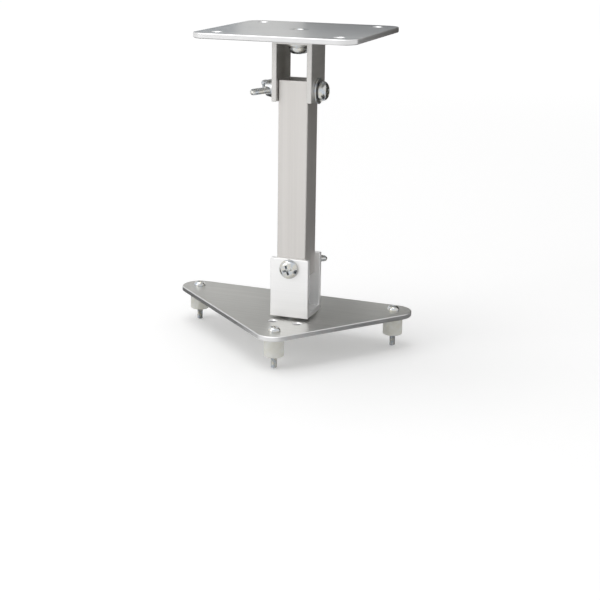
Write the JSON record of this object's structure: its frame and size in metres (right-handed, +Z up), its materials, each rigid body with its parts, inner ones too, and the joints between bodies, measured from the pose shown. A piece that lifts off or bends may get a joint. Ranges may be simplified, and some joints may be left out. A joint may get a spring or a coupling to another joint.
{
  "type": "projector ceiling mount",
  "caption": "Ceiling plate and swivelling bracket carry a square drop tube; a second bracket at its foot tilts and swivels a triangular plate whose spaced screws hold a projector.",
  "frame": {"origin": "centre of the ceiling plate's top face, which lies against the ceiling", "axes": "+Z up into the ceiling, -Y to the front, +X to the right; the tube hangs along -Z"},
  "size_m": [0.1645, 0.1016, 0.2047],
  "materials": {
    "ceiling_plate": "mill-finish plate with fine lengthwise brushing",
    "projector_plate": "mill-finish plate with fine brushing",
    "brackets": "extruded channel, satin, with die lines",
    "tube": "extruded square tube, satin, with die lines",
    "zinc": "bright zinc plating",
    "spacer_nylon": "natural nylon, turned",
    "insert_nylon": "white nylon ring"
  },
  "bodies": {
    "ceiling": {"ceiling_plate": "ceiling_plate", "ceiling_nut": "zinc", "ceiling_washer": "zinc", "upper_swivel_bolt": "zinc", "upper_swivel_washer": "zinc", "upper_swivel_split_washer": "zinc"},
    "upper_yoke": {"upper_bracket": "brackets", "upper_pivot_bolt": "zinc", "upper_head_washer": "zinc", "upper_split_washer": "zinc"},
    "upper_clamp": {"upper_wing_washer": "zinc"},
    "upper_wing": {"upper_wing_nut": "zinc"},
    "drop_tube": {"square_tube": "tube"},
    "lower_yoke": {"lower_bracket": "brackets", "lower_pivot_bolt": "zinc"},
    "lower_clamp": {"lower_wing_washer": "zinc"},
    "lower_wing": {"lower_wing_nut": "zinc"},
    "carrier": {"projector_plate": "projector_plate", "base_washer": "zinc", "lower_swivel_bolt": "zinc", "lower_swivel_washer": "zinc", "lower_swivel_split_washer": "zinc", "lower_nut_washer": "zinc", "lower_lock_nut": "zinc", "lower_lock_insert": "insert_nylon", "screw_left": "zinc", "screw_front": "zinc", "screw_right": "zinc", "spacer_left": "spacer_nylon", "spacer_front": "spacer_nylon", "spacer_right": "spacer_nylon"}
  },
  "joints": [
    {"name": "upper_swivel", "type": "hinge", "parent": "ceiling", "child": "upper_yoke", "pos_m": [0, 0, -0.0032], "axis": [0, 0, 1], "continuous": true},
    {"name": "upper_wing_travel", "type": "slide", "parent": "upper_yoke", "child": "upper_clamp", "axis": [-1, 0, 0], "range_m": [0, 0.002]},
    {"name": "upper_wing_turn", "type": "hinge", "parent": "upper_clamp", "child": "upper_wing", "pos_m": [-0.0141, 0, -0.0365], "axis": [-1, 0, 0], "range_deg": [0, 540]},
    {"name": "upper_tilt", "type": "hinge", "parent": "upper_yoke", "child": "drop_tube", "pos_m": [0, 0, -0.0365], "axis": [1, 0, 0], "range_deg": [-60, 60]},
    {"name": "lower_roll", "type": "hinge", "parent": "drop_tube", "child": "lower_yoke", "pos_m": [0, 0, -0.1475], "axis": [0, 1, 0], "range_deg": [-90, 90]},
    {"name": "lower_wing_travel", "type": "slide", "parent": "lower_yoke", "child": "lower_clamp", "axis": [0, 1, 0], "range_m": [0, 0.002]},
    {"name": "lower_wing_turn", "type": "hinge", "parent": "lower_clamp", "child": "lower_wing", "pos_m": [0, 0.0141, -0.1475], "axis": [0, 1, 0], "range_deg": [0, 540]},
    {"name": "lower_swivel", "type": "hinge", "parent": "lower_yoke", "child": "carrier", "pos_m": [0, 0, -0.1808], "axis": [0, 0, 1], "continuous": true}
  ],
  "couplings": [
    {"joint": "upper_wing_travel", "follows": "upper_wing_turn", "m_per_rad": 0.00020213},
    {"joint": "lower_wing_travel", "follows": "lower_wing_turn", "m_per_rad": 0.00020213}
  ]
}
